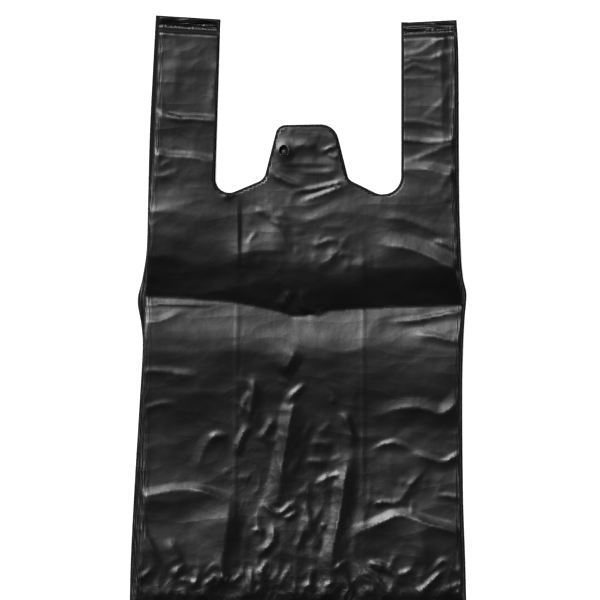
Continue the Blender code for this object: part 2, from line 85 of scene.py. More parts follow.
# How far each side edge bows out from half the width: share of the height, offset
LEFT_BACK_BOW = ((0.0, 12.7), (0.1, 11.4), (0.23, 7.9), (0.365, 3.5), (0.455, 0.9), (0.49, 2.2),
                 (0.53, 5.3), (0.565, 1.2), (0.61, -2.4), (0.69, -3.7), (0.81, -5.4), (1.0, -10.6))
LEFT_FRONT_BOW = ((0.0, 7.4), (0.05, 6.6), (0.13, 3.9), (0.23, 1.3), (0.36, 0.4), (0.53, -1.0),
                  (0.56, -2.2), (0.7, -5.3), (0.78, -8.8), (1.0, -13.6))
RIGHT_BACK_BOW = ((0.0, 2.2), (0.1, 0.9), (0.2, -0.9), (0.38, -1.7), (0.455, -0.9), (0.5, 0.4),
                  (0.54, 1.9), (0.565, -0.9), (0.6, -2.7), (0.7, -4.4), (0.94, -5.2), (1.0, -7.0))

# The tops of the handles from left to right, as the back layers' cut edge
HANDLE_TOPS = ((-140, 530), (-129.4, 530), (-73, 526.5), (85, 523.5), (133, 526), (140, 526))

# Corners of the die cut round the tab with their radii, as the back layers' cut edge
MOUTH = (((-73, 526.5), 0), ((-78, 368.5), 12), ((-35, 386.5), 11), ((-23, 434), 9),
         ((27, 435), 16), ((39, 386.3), 7.7), ((85, 363.5), 16), ((85, 523.5), 0))

# The punched arch beside the tab's left edge, with a tongue of film left in it
HOLE_CENTRE = (-17.7, 411.4)
HOLE_SIZE = (8.0, 10.0)
HOLE_END = math.radians(38)
HOLE_POINTS = 25
TONGUE_SIZE = 0.5
TONGUE_DROP = 0.16

# The old cross fold, a valley, from left to right
VALLEY = ((-143, 284), (-120, 283), (-100, 282), (-62, 279), (-36, 274), (-10, 267), (3, 268),
          (18, 272), (60, 274), (100, 275), (143, 277))

# The way it takes farther off, without its small bends, and how far those bends reach
VALLEY_TREND = ((-150, 284), (-60, 277.5), (0, 271.5), (60, 273.5), (150, 277))
BEND_REACH = 16

# Height of the front by distance from that fold, above it and below it
RISE_ABOVE = ((0, 1.2), (10, 3.4), (22, 5.6), (34, 6.8), (46, 6.7), (80, 5.7), (120, 4.4),
              (160, 3.2), (200, 2.2), (260, 1.3))
RISE_BELOW = ((0, 1.2), (14, 2.9), (30, 4.7), (48, 4.6), (85, 2.6), (125, 1.2), (160, 1.2),
              (200, 1.5), (235, 1.5), (270, 0.8))

# At the left that height is drawn out upwards: from which place across, over what way, by what share
DRAWN_OUT = (-50, 30, 0.3)

# Near the left and the right edge the front stands higher: by what share, within what way
SIDE_LIFTS = ((0.1, 45), (0.14, 45))

# Low on the bag it also stands this much higher there, in mm, up to a place where this fades out
LOW_LIFTS = ((0.9, 60), (1.4, 70))
LOW_END = (245, 60)

# Share of a crease's height that is left at a side edge, and the way in to its full height
EDGE_LOSS = (0.3, 5.0)

# The way from the bottom weld and from the handles' welds to the front's full height
WELD_REACHES = (15.0, 7.0)

# The steepest that the lit side of a crease stands, as height for its reach
STEEPEST = 0.3

# How a crease's lit and shaded sides fall away, its width at the ends and how much less it is
# between them, and the share of its length over which it rises
SIDE_FALLS = (1.2, 1.6)
END_WIDTH = 1.5
MIDDLE_NARROWER = 0.4
END_SHARE = 0.35

# Half the width of a crest's mark, partly wear and partly painted highlight, and the crease height from
# which that mark is full
CREST_WEAR_AND_HIGHLIGHT_REACH = 1.1
CREST_WEAR_AND_HIGHLIGHT_HEIGHT = 1.5

# A crest that ends beside a side edge or a handle's cut edge runs on past it by this much
RUN_ON = 24
SIDE_FROM = 130
HANDLES_FROM = 388
LEFT_CUT = (-80, -74)
RIGHT_CUT_FROM = 82

# Each crease: height, reach of its lit side, reach of its shaded side, and the line of its crest.
# Seen along the line, the lit side is on the left.
HANDLE_CREASES = (
    (0.7, 2.6, 5, ((-133, 447), (-120, 443), (-112, 440.5), (-93, 440), (-77, 438.5))),
    (1.2, 5, 27, ((-134, 442), (-112, 439), (-77, 437))),
    (1.4, 4.8, 45, ((-135, 408.5), (-122, 407.5), (-110, 406.5), (-95, 405), (-77, 402))),
    (0.3, 3, 6, ((-130, 395), (-122, 400), (-113, 404))),
    (0.3, 3, 6, ((-129, 388), (-120, 391), (-108, 393))),
    (0.3, 6, 10, ((-118, 489), (-105, 498), (-85, 506))),
    (0.35, 10, 8, ((-113, 452), (-113, 468), (-111, 492))),
    (0.4, 5, 7, ((-84, 440), (-80, 458), (-77, 476))),
    (0.6, 1.9, 4, ((85, 421.5), (100, 420), (112, 419.4), (122, 420), (134, 422.5))),
    (0.5, 10, 20, ((85, 421), (112, 419), (134, 422))),
    (1.5, 6.5, 40, ((84, 394.5), (98, 395), (110, 394.5), (120, 392.5), (133, 390))),
    (0.45, 4, 9, ((87, 401), (97, 404), (110, 409), (126, 416))),
    (0.5, 4, 9, ((88, 495), (100, 497.5), (110, 503), (122, 511))),
    (0.4, 3, 6, ((85, 488), (97, 491), (110, 492), (119, 495))),
    (0.4, 3, 6, ((85, 481), (97, 486), (105, 484), (113, 482))),
    (0.3, 3, 6, ((88, 474), (104, 475))),
    (0.4, 3, 7, ((85, 437), (100, 436.5), (116, 433.5))),
    (0.55, 16, 8, ((121, 418), (121, 460), (119, 505))),
    (0.9, 5, 4, ((134, 418), (134, 460), (133, 508))),
)
TAB_CREASES = (
    (0.6, 5, 5, ((-12, 414), (0, 416), (12, 414.5))),
    (0.6, 2, 4, ((14, 413.5), (18, 411.5), (23, 414), (31, 416))),
    (0.6, 2.5, 4, ((20, 409), (26, 406.5), (32, 405))),
    (0.8, 6, 8, ((-28, 399), (5, 400), (35, 398))),
    (0.7, 4, 7, ((-10, 393), (12, 392), (34, 394))),
    (1.0, 4, 6, ((-33, 391), (-20, 387.5), (-10, 382.5), (2, 379))),
    (0.9, 3.2, 3, ((-15, 373.5), (-5, 375.8), (8, 378), (22, 380.8), (38, 385), (48, 388))),
    (1.3, 3.2, 9, ((-9, 365.5), (0, 368), (12, 372), (26, 377), (38, 382), (48, 387))),
)
UPPER_CREASES = (
    (1.9, 30, 16, ((-68, 318), (-52, 322), (-34, 324), (-8, 323))),
    (0.8, 14, 26, ((6, 296), (-8, 318), (-22, 345), (-30, 366), (-37, 384))),
    (0.7, 34, 2.5, ((-57, 300), (-57.5, 340), (-57.5, 376))),
    (0.35, 4, 5, ((-43, 362), (-34, 356), (-26, 352))),
    (0.3, 4, 4, ((-31, 352), (-22, 347), (-18, 350))),
    (0.4, 3, 4, ((-50, 327), (-44, 337), (-40, 341))),
    (0.6, 3.2, 6, ((5, 326), (14, 329.5), (22, 333), (33, 331))),
    (0.3, 4, 6, ((10, 343), (22, 345), (40, 344))),
    (0.7, 7, 9, ((10, 302), (14, 311), (25, 318), (34, 330))),
    (0.4, 3, 5, ((28, 318), (36, 321), (46, 318))),
    (0.3, 3, 4, ((-11, 341), (2, 340))),
    (2.6, 11, 24, ((53, 328), (62, 329.5), (76, 328), (92, 325.5), (102, 322), (115, 316), (128, 309),
                   (137, 304))),
    (0.7, 6, 10, ((60, 349), (82, 352), (104, 345), (128, 333))),
    (0.8, 4, 6, ((108, 331), (120, 331), (131, 326))),
    (0.4, 16, 30, ((-132, 341), (-115, 357), (-92, 368), (-74, 372))),
    (1.0, 4, 6, ((-72, 368), (-66, 374), (-58, 378))),
    (1.0, 8, 5, ((-3, 291), (-1, 276), (4, 268))),
    (1.1, 7, 5, ((-20, 272), (-15, 282), (-12, 290))),
    (0.7, 3, 4, ((2, 267), (6, 272), (12, 270), (22, 275))),
    (0.6, 2.4, 3, ((-136, 277), (-115, 277.5), (-90, 277), (-64, 278))),
    (0.9, 3, 6, ((64, 262), (90, 262.5), (112, 266), (137, 271))),
    (0.9, 4, 7, ((88, 250.5), (108, 250), (122, 247), (137, 244))),
    (0.8, 4, 8, ((-142, 262), (-128, 262), (-112, 268), (-98, 270))),
)
LOWER_CREASES = (
    (0.9, 5, 11, ((-136, 218), (-118, 218), (-98, 215), (-86, 222))),
    (0.6, 4, 8, ((-136, 187), (-122, 190), (-106, 189))),
    (3.0, 9, 20, ((-24, 92), (-21, 124), (-17, 150), (-12, 178), (-7, 196), (4, 212))),
    (1.5, 8, 22, ((-6, 240), (-12, 226), (-20, 214))),
    (0.9, 4, 5, ((-15, 186), (-11, 196), (4, 210))),
    (1.6, 5, 10, ((-50, 169), (-46, 186), (-44, 202), (-43, 219))),
    (0.9, 4, 8, ((-55, 176), (-50, 196), (-42, 200))),
    (1.4, 5, 5, ((-57, 142), (-56, 156), (-50, 167), (-44, 170))),
    (1.0, 5, 10, ((-40, 156), (-33, 166), (-25, 180))),
    (0.75, 8, 14, ((-95, 127), (-88, 148), (-80, 160), (-63, 160))),
    (0.8, 4, 6, ((-84, 158), (-76, 163), (-66, 160))),
    (0.3, 3, 4, ((-72, 131), (-62, 131.5))),
    (0.5, 4, 6, ((-58, 124), (-52, 126), (-46, 124))),
    (2.5, 9, 12, ((22, 28), (26, 62), (31, 92), (36, 122), (42, 160))),
    (1.3, 5, 6, ((28, 182), (36, 178), (42, 160), (40, 150))),
    (0.9, 4, 7, ((8, 118), (18, 124), (26, 127))),
    (1.1, 5, 9, ((6, 100), (4, 84), (18, 62))),
    (0.8, 3, 4, ((14, 83), (20, 84))),
    (0.8, 3, 4, ((22, 127), (32, 128))),
    (0.8, 5, 8, ((4, 155), (16, 156), (28, 153))),
    (0.8, 4, 8, ((0, 137), (8, 140), (22, 137))),
    (1.8, 9, 16, ((56, 176), (68, 181), (80, 184.5), (92, 186), (108, 185), (120, 181), (134, 190))),
    (1.2, 3.4, 8, ((56, 147), (64, 152), (72, 155.5), (80, 156), (88, 152), (97, 146))),
    (1.1, 4, 9, ((86, 142), (98, 146), (110, 142), (122, 139), (134, 145))),
    (0.8, 10, 8, ((70, 105), (82, 104), (92, 116), (101, 127), (112, 140))),
    (0.8, 3, 6, ((110, 108), (122, 110), (135, 108))),
    (0.9, 3, 5, ((58, 101), (72, 104), (84, 100))),
    (1.5, 6, 22, ((-145, 108.5), (-130, 111), (-118, 113.5), (-104, 115), (-92, 114), (-82, 111),
                  (-72, 107), (-62, 102.5), (-54, 101))),
    (1.7, 7, 24, ((28, 58), (36, 68), (46, 76), (58, 81.5), (70, 87), (81, 92), (94, 89.5), (108, 85),
                  (122, 81), (138, 76))),
    (2.2, 30, 15, ((-74, 24), (-70, 60), (-66, 92), (-63, 116))),
    (0.8, 7, 20, ((78, 91.5), (94, 89), (108, 85), (122, 81), (138, 76))),
    (0.7, 6, 16, ((-106, 114), (-92, 114), (-82, 111), (-72, 107), (-62, 102.5), (-50, 100))),
    (1.0, 20, 12, ((108, 40), (104, 68), (98, 96))),
    (0.9, 6, 8, ((-119, 74), (-112, 58), (-106, 46))),
    (0.9, 5, 6, ((-136, 70), (-128, 56), (-118, 50))),
    (1.1, 3.6, 6, ((-43, 97), (-35, 101), (-28, 96), (-20, 95), (-10, 103), (-3, 105))),
    (0.9, 3.2, 5, ((-20, 89), (-12, 92), (-4, 97))),
    (0.9, 3.2, 5, ((-46, 77), (-40, 80), (-34, 78))),
    (1.2, 5, 6, ((-42, 56), (-34, 62), (-28, 70), (-27, 80), (-30, 88))),
    (0.8, 5, 7, ((-8, 60), (-2, 74), (0, 88))),
)
BOTTOM_CREASES = (
    (1.0, 4, 8, ((-145, 36), (-135, 44), (-128, 53))),
    (1.0, 4, 8, ((-117, 37), (-108, 46), (-104, 54))),
    (0.9, 3.4, 8, ((-112, 33), (-105, 36), (-98, 34), (-90, 36))),
    (1.0, 4, 8, ((-90, 28), (-80, 37), (-71, 43))),
    (1.0, 4, 8, ((-70, 30), (-58, 38), (-53, 46))),
    (1.3, 4, 6, ((-48, 16), (-46, 34), (-47, 52))),
    (1.0, 4, 8, ((-41, 38), (-35, 48), (-31, 56))),
    (0.9, 4, 8, ((-24, 30), (-16, 40), (-12, 52))),
    (0.9, 4, 8, ((2, 24), (6, 38), (6, 50))),
    (1.0, 3.4, 8, ((55, 47), (62, 50.5), (70, 48.5), (78, 45))),
    (1.0, 3.4, 8, ((68, 40), (76, 43), (84, 41), (92, 44), (98, 48))),
    (1.0, 4, 9, ((42, 43), (48, 40), (55, 42), (64, 36), (72, 26), (80, 20))),
    (1.3, 4, 9, ((96, 22), (104, 27), (110, 33), (118, 41), (128, 47))),
    (0.9, 4, 8, ((106, 36), (115, 46), (122, 53), (131, 45))),
    (0.8, 4, 8, ((120, 20), (127, 28), (134, 31))),
)
GUSSET_LINES = (
    (0.2, 2.5, 3, ((-60.5, 14), (-60, 130), (-58.6, 270), (-58.6, 372))),
    (0.22, 3, 2.5, ((52.4, 14), (52, 130), (51.6, 270), (51.6, 374))),
)
CREASES = HANDLE_CREASES + TAB_CREASES + UPPER_CREASES + LOWER_CREASES + BOTTOM_CREASES + GUSSET_LINES

# Broad soft rises: height, reach across, reach up, place across, place up
SWELLS = (
    (0.4, 26, 34, -104, 480), (0.4, 22, 30, 104, 460), (0.2, 20, 16, 4, 424),
    (0.5, 30, 26, 14, 345), (1.0, 34, 26, -104, 352), (0.9, 34, 22, 92, 366),
    (1.2, 44, 26, -98, 200), (1.0, 40, 22, 96, 214), (1.8, 9, 10, -17, 410),
    (0.8, 20, 34, -18, 60), (0.9, 34, 20, -74, 84), (0.8, 20, 16, 108, 64), (0.9, 26, 18, 84, 136),
)
SWELL_FALL = 1.5

# Where small crumples gather: number, lowest and highest place across, lowest and highest place up,
# shortest and longest crease, tallest crease
CRUMPLES = (
    (30, -142, 138, 12, 60, 9, 26, 0.9),
    (14, -40, 34, 60, 120, 8, 22, 0.5),
    (10, 60, 134, 94, 130, 6, 20, 0.4),
    (20, -60, 40, 130, 220, 8, 24, 0.4),
    (22, -60, 50, 285, 372, 8, 22, 0.3),
    (18, -140, -124, 285, 520, 4, 12, 0.35),
    (22, 118, 138, 240, 520, 4, 14, 0.4),
    (14, -130, -76, 500, 522, 6, 16, 0.25),
    (12, 86, 132, 496, 518, 6, 16, 0.25),
    (14, -30, 36, 385, 432, 5, 12, 0.3),
)

# How those creases lie: share that runs across, angles of these and of the rest, bend to the side,
# share of the tallest height, length from which it counts in full, reaches of their two sides
ACROSS_SHARE = 0.6
ACROSS_ANGLES = (-0.9, 1.3)
UP_ANGLES = (0.9, 2.0)
BENDS = (-0.35, 0.35)
HEIGHT_SHARES = (0.3, 1.0)
FULL_LENGTH = 8
LIT_REACHES = (2.5, 5.0)
SHADED_REACHES = (4.0, 8.0)

# Each layer of waviness: amount, pitch across, pitch up, seed
WAVES = ((1.0, 26, 17, 5), (0.4, 11, 8, 6))
CREST_WAVERS = ((0.35, 9, 9, 71), (0.35, 9, 9, 72))
CRUMPLE_BENDS = ((7.0, 38, 30, 81), (6.0, 30, 36, 83))
CRUMPLE_FAN = (0.25, 90, 400, 82)
RIPPLE_CELLS = 128
RIPPLE_START = 3

# Each layer of crumple: amount, sharpness, pitch across, pitch up, seed
DENSE_CRUMPLE = ((0.75, 2.2, 13, 24, 84), (0.2, 2.2, 8, 11, 85))
FAINT_CRUMPLE = ((0.14, 2.0, 34, 19, 86), (0.35, 2.0, 70, 42, 87))

# The dense crumple's top and the way that it fades in, the same for its fullest part, and the share
# outside that
CRUMPLE_TOP = (66, 44)
FULLEST_TOP = (44, 22)
OUTER_SHARE = 0.45

# The thinner crumple in the middle: share, place across, half its width and fade, its top and fade
MIDDLE_CRUMPLE = (0.3, -5, (90, 60), (190, 80))

# Cutting of the grid, in mm: a place above the bag, how near a cut the points are moved onto it, the
# same at the hole, what is cut finer round the hole, steps of the back's outline, how far its cells
# reach to each side, and how near its edge a leaf hangs from the front
ABOVE_BAG = 600.0
CUT_SNAP = 1.5
HOLE_SNAP = 0.45
HOLE_ZONE = 9
HOLE_CUTS = 3
OUTLINE_STEP = 4
BACK_REACH = 120
LEAF_HOLD = 0.6

# Distances closer than this are a tie, so that each run chooses the same
TIE = 1e-9

# The least turn at a cell's corner, as a share of the cell's area, and rounds of taking cells back
LEAST_TURN = 0.12
SETTLE_ROUNDS = 4

# Marks: crumple of the smooth film, way to the skirt's full mark, hem's width and fade, and the
# place up from which the back's film is dull
SMOOTH_CRUMPLE = 0.08
SKIRT_WAY = 2.0
HEM = (7, 5.0)
DULL_FROM = 360

# Softboxes: azimuth left of +Y, angle from straight up, distance, size, share of the key power
SOFTBOXES = {
    "key_softbox": (math.radians(37), math.radians(27), 14.0, (5.4, 4.6), 1.0),
    "fill_softbox": (math.radians(-120), math.radians(50), 12.0, (5.0, 5.0), 0.05),
}

# Heights of view, from 0 when level to 1 straight up, between which the ceiling turns to white
CEILING_END = (0.45, 0.2)

# Place that the camera looks down on, in mm, and the width of its sensor
CAMERA_PLACE = (1.65, 15.9)
SENSOR_WIDTH = 36.0


def straight_curve(knots, at):
    """Values at places on straight runs between knots of (place, value)."""
    return np.interp(at, *np.array(knots, dtype=float).T)


def smooth_curve(knots, at):
    """Values at places on the smooth curve through knots of (place, value)."""
    place, value = np.array(knots, dtype=float).T
    before = np.maximum(np.arange(len(place)) - 1, 0)
    after = np.minimum(np.arange(len(place)) + 1, len(place) - 1)
    slope = (value[after] - value[before]) / (place[after] - place[before])
    index = np.clip(np.searchsorted(place, at) - 1, 0, len(place) - 2)
    span = place[index + 1] - place[index]
    t = np.clip((at - place[index]) / span, 0.0, 1.0)
    rise = span * t * (1 - t) * ((1 - t) * slope[index] - t * slope[index + 1])
    return value[index] + (value[index + 1] - value[index]) * t * t * (3 - 2 * t) + rise


def side_edge(side, front, up):
    """Place across of a side edge, for front being 0 on the back layers to 1 on the front ones."""
    share = up / BAG_HEIGHT
    if side < 0:
        back_edge = -FACE_WIDTH / 2 - smooth_curve(LEFT_BACK_BOW, share)
        front_edge = -FACE_WIDTH / 2 - smooth_curve(LEFT_FRONT_BOW, share)
    else:
        back_edge = FACE_WIDTH / 2 + smooth_curve(RIGHT_BACK_BOW, share)
        front_edge = back_edge - FRONT_INSET_RIGHT
    return back_edge + (front_edge - back_edge) * front


def rounded(corners, turn_step=math.radians(10)):
    """Points of an open outline of (point, radius) corners, with each corner rounded by an arc."""
    points = [Vector(corners[0][0])]
    for (before, _), (corner, radius), (after, _) in zip(corners, corners[1:], corners[2:]):
        corner = Vector(corner)
        to_before = (Vector(before) - corner).normalized()
        to_after = (Vector(after) - corner).normalized()
        half = math.acos(max(-1.0, min(1.0, to_before.dot(to_after)))) / 2
        centre = corner + (to_before + to_after).normalized() * (radius / math.sin(half))
        first = to_before * (radius / math.tan(half)) + corner - centre
        last = to_after * (radius / math.tan(half)) + corner - centre
        turn = (math.pi - 2 * half) * (1 if first.cross(last) > 0 else -1)
        steps = max(2, math.ceil(abs(turn) / turn_step))
        for index in range(steps + 1):
            cos, sin = math.cos(turn * index / steps), math.sin(turn * index / steps)
            across, up = first.x * cos - first.y * sin, first.x * sin + first.y * cos
            points.append(centre + Vector((across, up)))
    points.append(Vector(corners[-1][0]))
    return points


def mouth_line(front):
    """The die cut as points, from the left handle's top round the tab; the front lies a little back."""
    points = rounded(MOUTH)
    drop = FRONT_SETBACK if front else 0.0
    moved = []
    for index, point in enumerate(points):
        along = (points[min(index + 1, len(points) - 1)] - points[max(index - 1, 0)]).normalized()
        moved.append((point.x + along.y * drop, point.y - along.x * drop))
    return np.array(moved)


def hole_line():
    """The punched arch, open round a tongue of film in its middle."""
    angles = np.linspace(-HOLE_END, math.pi + HOLE_END, HOLE_POINTS)
    arch = np.stack((np.cos(angles) * HOLE_SIZE[0] / 2, np.sin(angles) * HOLE_SIZE[1] / 2), axis=1)
    tongue = arch[::-1] * TONGUE_SIZE - np.array((0.0, HOLE_SIZE[1] * TONGUE_DROP))
    return np.concatenate((arch, tongue)) + np.array(HOLE_CENTRE)


def inside(points, outline):
    """Which points lie inside a closed outline."""
    odd = np.zeros(len(points), dtype=bool)
    for (ax, ay), (bx, by) in zip(outline, np.roll(outline, -1, axis=0)):
        if ay != by:
            spans = (ay > points[:, 1]) != (by > points[:, 1])
            odd ^= spans & (points[:, 0] < ax + (points[:, 1] - ay) * (bx - ax) / (by - ay))
    return odd


def nearest_on(points, line):
    """For each point: nearest place on a line, signed distance (left is more), and share along it."""
    line = np.asarray(line, dtype=float)
    lengths = np.linalg.norm(np.diff(line, axis=0), axis=1)
    starts = np.concatenate(([0.0], np.cumsum(lengths)))
    best = np.full(len(points), np.inf)
    places = np.zeros((len(points), 2))
    signs = np.ones(len(points))
    shares = np.zeros(len(points))
    for index, length in enumerate(lengths):
        if length == 0:
            continue
        a = line[index]
        step = (line[index + 1] - a) / length
        offset = points - a
        along = np.clip(offset @ step, 0.0, length)
        place = a + along[:, None] * step
        gap = np.linalg.norm(points - place, axis=1)
        closer = gap < best - TIE
        best[closer] = gap[closer]
        places[closer] = place[closer]
        signs[closer] = np.where(step[0] * offset[closer, 1] - step[1] * offset[closer, 0] >= 0, 1, -1)
        shares[closer] = (starts[index] + along[closer]) / starts[-1]
    return places, best * signs, shares


def ease(distance, reach):
    """0 at no distance, rising smoothly to 1 at the reach."""
    t = np.clip(distance / reach, 0.0, 1.0)
    return t * t * (3 - 2 * t)


def fade(place, end, way):
    """0 beyond an end, rising smoothly to 1 over a way before it."""
    return ease(end - place, way)


def ripple(points, pitch_across, pitch_up, seed):
    """Smooth random waviness between -1 and 1."""
    grid = np.random.default_rng(seed).uniform(-1, 1, (RIPPLE_CELLS, RIPPLE_CELLS))
    across = points[:, 0] / pitch_across + RIPPLE_CELLS // 2
    up = points[:, 1] / pitch_up + RIPPLE_START
    i, j = np.floor(across).astype(int), np.floor(up).astype(int)
    s, t = ease(across - i, 1.0), ease(up - j, 1.0)
    i, j = i % (RIPPLE_CELLS - 1), j % (RIPPLE_CELLS - 1)
    low = grid[i, j] * (1 - s) + grid[i + 1, j] * s
    high = grid[i, j + 1] * (1 - s) + grid[i + 1, j + 1] * s
    return low * (1 - t) + high * t


def waves(points, layers):
    """Layers of waviness, one on the other."""
    return sum(amount * ripple(points, *grid) for amount, *grid in layers)


def folded(points, layers):
    """Layers of waviness folded up at zero into sharp crests, one on the other."""
    return sum(amount * (1 - sharpness * np.abs(ripple(points, *grid)))
               for amount, sharpness, *grid in layers)


def small_crumples(seed=23):
    """Short seeded creases where the film is crumpled."""
    rng = np.random.default_rng(seed)
    creases = []
    for count, left, right, low, high, shortest, longest, tallest in CRUMPLES:
        for _ in range(count):
            middle = np.array((rng.uniform(left, right), rng.uniform(low, high)))
            angles = ACROSS_ANGLES if rng.random() < ACROSS_SHARE else UP_ANGLES
            angle = rng.uniform(*angles)
            length = rng.uniform(shortest, longest)
            along = np.array((math.cos(angle), math.sin(angle))) * length / 2
            bend = np.array((-along[1], along[0])) * rng.uniform(*BENDS)
            height = tallest * rng.uniform(*HEIGHT_SHARES) * min(1.0, length / FULL_LENGTH)
            line = (middle - along, middle + bend, middle + along)
            creases.append((height, rng.uniform(*LIT_REACHES), rng.uniform(*SHADED_REACHES), line))
    return creases


def handle_weld(across):
    """Place up of the weld at a handle's top."""
    return straight_curve(HANDLE_TOPS, across) - HANDLE_WELD_DROP


def weld_gap(points):
    """Distance from the nearest weld line."""
    across, up = points.T
    return np.minimum(np.abs(up - BOTTOM_WELD), np.abs(up - handle_weld(across)))


def in_skirt(points):
    """Which points lie beyond the weld at a handle's top, or under the bottom weld."""
    across, up = points.T
    return (up > handle_weld(across)) | (up < BOTTOM_WELD)


def runs_on(end):
    """Whether a crest's end lies beside a side edge or a handle's cut edge."""
    across, up = end
    at_cut = across > RIGHT_CUT_FROM or LEFT_CUT[0] < across < LEFT_CUT[1]
    return abs(across) > SIDE_FROM or (up > HANDLES_FROM and at_cut)


def bent(points, ways):
    """Points moved across and up by a waviness each."""
    return points + np.stack([waves(points, (way,)) for way in ways], axis=1)


def fair_line(line, step=2.5):
    """A crest line as a smooth and slightly wavering curve through its points."""
    line = list(np.asarray(line, dtype=float))
    for _ in range(2):
        line.reverse()
        if runs_on(line[0]):
            last = line[0] - line[1]
            line.insert(0, line[0] + last * RUN_ON / np.linalg.norm(last))
    line = np.array(line)
    along = np.concatenate(([0.0], np.cumsum(np.linalg.norm(np.diff(line, axis=0), axis=1))))
    at = np.linspace(0.0, along[-1], max(3, round(along[-1] / step) + 1))
    curve = [smooth_curve(np.stack((along, place), axis=1), at) for place in line.T]
    return bent(np.stack(curve, axis=1), CREST_WAVERS)


def crease_rise(points, creases):
    """Height that the creases add at each point, and the crests' mark there: partly wear, partly
    painted highlight.
    """
    rise = np.zeros(len(points))
    crest_wear_and_highlight = np.zeros(len(points))
    for height, lit, shaded, line in creases:
        height = min(height, STEEPEST * lit)
        reach = END_WIDTH * max(lit, shaded)
        low, high = line.min(axis=0) - reach, line.max(axis=0) + reach
        near = np.flatnonzero(np.all((points > low) & (points < high), axis=1))
        if len(near) == 0:
            continue
        _, gap, share = nearest_on(points[near], line)
        ends = ease(np.minimum(share, 1 - share), END_SHARE)
        side_reach = np.where(gap >= 0, lit, shaded) * (END_WIDTH - MIDDLE_NARROWER * ends)
        fall = np.clip(1 - np.abs(gap) / side_reach, 0.0, 1.0)
        rise[near] += height * ends * fall ** np.where(gap >= 0, *SIDE_FALLS)
        # Mark along the crest: wear, and a lighter colour there as painted highlight
        wear_and_highlight = ends * np.exp(-(gap / CREST_WEAR_AND_HIGHLIGHT_REACH) ** 2) * min(1.0, height / CREST_WEAR_AND_HIGHLIGHT_HEIGHT)
        crest_wear_and_highlight[near] = np.maximum(crest_wear_and_highlight[near], wear_and_highlight)
    return rise, crest_wear_and_highlight


def crumple_share(points):
    """How crumpled the film is: dense above the bottom weld, less in the middle of the lower half."""
    across, up = points.T
    fullest = OUTER_SHARE + (1 - OUTER_SHARE) * fade(up, *FULLEST_TOP)
    amount, place, width, top = MIDDLE_CRUMPLE
    middle = fade(np.abs(across - place), *width) * fade(up, *top)
    return fade(up, *CRUMPLE_TOP) * fullest + amount * middle


def crumple_rise(points):
    """Height of the dense sharp crumple and of the faint one over all of the film."""
    moved = bent(points, CRUMPLE_BENDS)
    moved[:, 0] += points[:, 1] * waves(points, (CRUMPLE_FAN,))
    return crumple_share(points) * folded(moved, DENSE_CRUMPLE) + folded(moved, FAINT_CRUMPLE)


def side_lift(gaps, lifts):
    """Lift near the side edges, for the distances from them."""
    return sum(amount * fade(gap, reach, reach) for gap, (amount, reach) in zip(gaps, lifts))


def broad_rise(points, edge_gaps):
    """Height of the front with no crease in it but the cross fold."""
    across, up = points.T
    near_fold = straight_curve(VALLEY, across)
    far = ease(np.abs(up - near_fold), BEND_REACH)
    gap = up - near_fold * (1 - far) - smooth_curve(VALLEY_TREND, across) * far
    start, way, drawn = DRAWN_OUT
    gap *= np.where(gap > 0, 1 - drawn * ease(start - across, way), 1.0)
    away = np.abs(gap)
    return (np.where(gap > 0, smooth_curve(RISE_ABOVE, away), smooth_curve(RISE_BELOW, away))
            * (1 + side_lift(edge_gaps, SIDE_LIFTS)))


def relief(points, creases, settings):
    """Height of the front above the flat layers, and its crests' mark of wear and painted highlight."""
    across, up = points.T
    edge_gaps = (across - side_edge(-1, 1.0, up), side_edge(1, 1.0, up) - across)
    height = settings.pillow * broad_rise(points, edge_gaps)
    top, way = LOW_END
    low = fade(up, top, way) * ease(up, way)
    height += low * side_lift(edge_gaps, LOW_LIFTS)
    for rise, reach_across, reach_up, place_across, place_up in SWELLS:
        away = ((across - place_across) / reach_across) ** 2 + ((up - place_up) / reach_up) ** 2
        height += rise * np.exp(-away * SWELL_FALL)
    folds, crest_wear_and_highlight = crease_rise(points, creases)
    least, way = EDGE_LOSS
    sharp = least + (1 - least) * ease(np.minimum(*edge_gaps), way)
    height += (folds + crumple_rise(points)) * settings.crease_strength * sharp
    height += settings.waviness / MM * waves(points, WAVES)
    height *= ease(weld_gap(points) - WELD_HALF_WIDTH, np.where(up < BAG_HEIGHT / 2, *WELD_REACHES))
    return np.maximum(height, 0.0), crest_wear_and_highlight


def places_of(verts):
    """Places of points on the flat bag, across and up."""
    return np.array([vert.co.xy for vert in verts])


def all_on(part, layer):
    """Whether an edge or a face lies wholly on one layer."""
    return all(vert.co.z == layer for vert in part.verts)


